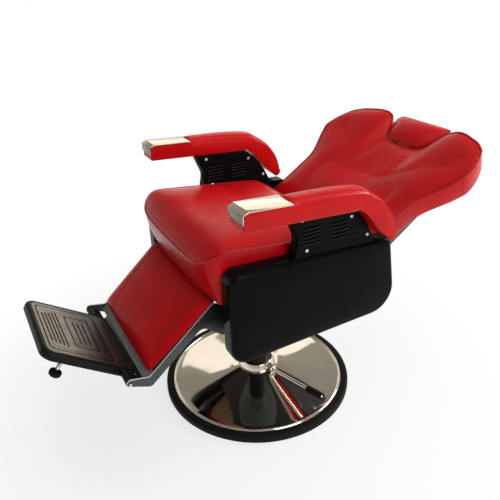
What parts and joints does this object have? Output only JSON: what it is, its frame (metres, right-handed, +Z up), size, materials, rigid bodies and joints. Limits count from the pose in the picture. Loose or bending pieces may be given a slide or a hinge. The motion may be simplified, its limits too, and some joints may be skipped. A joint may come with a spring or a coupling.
{
  "type": "reclining barber chair",
  "caption": "Reclining hydraulic barber chair with padded seat, winged back with headrest, armrests, leg rest and folding footrest on a round base.",
  "frame": {"origin": "middle of the round base's underside, on the floor and on the swivel axis", "axes": "+Z up, -Y the way the sitter faces, +X to the sitter's left; metres"},
  "size_m": [0.653, 1.3133, 0.7684],
  "materials": {
    "red_upholstery": "padded smooth red leather cloth, satin",
    "gloss_black_cover": "moulded, glossy",
    "black_panel": "moulded, satin",
    "black_frame": "black powder coat",
    "chrome": "bright plate",
    "bare_steel": "zinc bright",
    "grey_paint": "grey paint",
    "cast_footrest": "dark cast, satin",
    "black_rubber": "matt",
    "plywood": "bare"
  },
  "bodies": {
    "base": {"base_ring": "black_rubber", "base_dome": "chrome", "base_plate": "bare_steel", "pump_cylinder": "bare_steel", "pump_collar": "chrome", "pump_lever_pin": "bare_steel"},
    "ram": {"pump_ram": "chrome"},
    "pump_lever": {"pump_lever": "chrome", "pump_lever_sleeve": "black_rubber"},
    "seat": {"swivel_hub": "grey_paint", "seat_cross_frame": "black_frame", "left_side_frame": "black_frame", "right_side_frame": "black_frame", "seat_board": "plywood", "seat_cushion": "red_upholstery", "left_side_cover": "gloss_black_cover", "right_side_cover": "gloss_black_cover", "left_inner_arm_panel": "black_panel", "left_outer_arm_panel": "black_panel", "right_inner_arm_panel": "black_panel", "right_outer_arm_panel": "black_panel", "left_arm_pad": "red_upholstery", "right_arm_pad": "red_upholstery", "left_arm_cap": "chrome", "right_arm_cap": "chrome", "recline_lock_tube": "bare_steel", "left_panel_bolt_1": "bare_steel", "left_panel_bolt_2": "bare_steel", "left_panel_bolt_3": "bare_steel", "left_panel_bolt_4": "bare_steel", "right_panel_bolt_1": "bare_steel", "right_panel_bolt_2": "bare_steel", "right_panel_bolt_3": "bare_steel", "right_panel_bolt_4": "bare_steel", "left_back_pivot_pin": "bare_steel", "left_leg_pivot_pin": "bare_steel", "right_back_pivot_pin": "bare_steel", "right_leg_pivot_pin": "bare_steel"},
    "back": {"back_cushion": "red_upholstery", "back_board": "black_panel", "left_back_arm": "grey_paint", "right_back_arm": "grey_paint", "headrest_guide": "grey_paint"},
    "headrest": {"headrest_pad": "red_upholstery", "headrest_post": "bare_steel"},
    "leg_rest": {"leg_pad": "red_upholstery", "leg_board": "plywood", "left_leg_rail": "grey_paint", "right_leg_rail": "grey_paint", "leg_cross_plate": "grey_paint", "footrest_hinge_rod": "chrome"},
    "footrest": {"footrest_tray": "cast_footrest", "left_bumper_stud": "bare_steel", "left_bumper_foot": "black_rubber", "right_bumper_stud": "bare_steel", "right_bumper_foot": "black_rubber"},
    "left_link": {"left_recline_link": "grey_paint"},
    "right_link": {"right_recline_link": "grey_paint"},
    "lock_rod": {"recline_lock_rod": "chrome"},
    "release_lever": {"release_lever": "chrome"}
  },
  "joints": [
    {"name": "lift", "type": "slide", "parent": "base", "child": "ram", "axis": [0, 0, 1], "range_m": [0, 0.16]},
    {"name": "swivel", "type": "hinge", "parent": "ram", "child": "seat", "pos_m": [0, 0, 0.348], "axis": [0, 0, 1], "continuous": true},
    {"name": "recline", "type": "hinge", "parent": "seat", "child": "back", "pos_m": [0, 0.215, 0.47], "axis": [1, 0, 0], "range_deg": [0, 34]},
    {"name": "leg_rest_swing", "type": "hinge", "parent": "seat", "child": "leg_rest", "pos_m": [0, -0.185, 0.435], "axis": [1, 0, 0], "range_deg": [0, 34]},
    {"name": "left_link_pivot", "type": "hinge", "parent": "back", "child": "left_link", "pos_m": [0, 0.19892, 0.4174], "axis": [1, 0, 0], "range_deg": [-34, 0]},
    {"name": "right_link_pivot", "type": "hinge", "parent": "back", "child": "right_link", "pos_m": [0, 0.19892, 0.4174], "axis": [1, 0, 0], "range_deg": [-34, 0]},
    {"name": "lock_rod_slide", "type": "slide", "parent": "seat", "child": "lock_rod", "axis": [0, 1, 0], "range_m": [0, 0.03226]},
    {"name": "headrest_slide", "type": "slide", "parent": "back", "child": "headrest", "axis": [0, 0.8616, 0.5075], "range_m": [0, 0.08]},
    {"name": "footrest_fold", "type": "hinge", "parent": "leg_rest", "child": "footrest", "pos_m": [0, -0.46875, 0.31428], "axis": [-1, 0, 0], "range_deg": [0, 75]},
    {"name": "pump_lever_press", "type": "hinge", "parent": "base", "child": "pump_lever", "pos_m": [0.07175, 0.01343, 0.0718], "axis": [-0.184, 0.9829, 0], "range_deg": [0, 12], "stiffness_Nm_per_rad": 8, "springref_deg": -8.59},
    {"name": "release_lever_pull", "type": "hinge", "parent": "seat", "child": "release_lever", "pos_m": [0, -0.05, 0.448], "axis": [1, 0, 0], "range_deg": [0, 20], "stiffness_Nm_per_rad": 2, "springref_deg": -8.59}
  ],
  "couplings": [
    {"joint": "leg_rest_swing", "follows": "recline", "ratio": 1},
    {"joint": "left_link_pivot", "follows": "recline", "ratio": -1},
    {"joint": "right_link_pivot", "follows": "recline", "ratio": -1},
    {"joint": "lock_rod_slide", "follows": "recline", "m_per_rad": 0.054197}
  ]
}
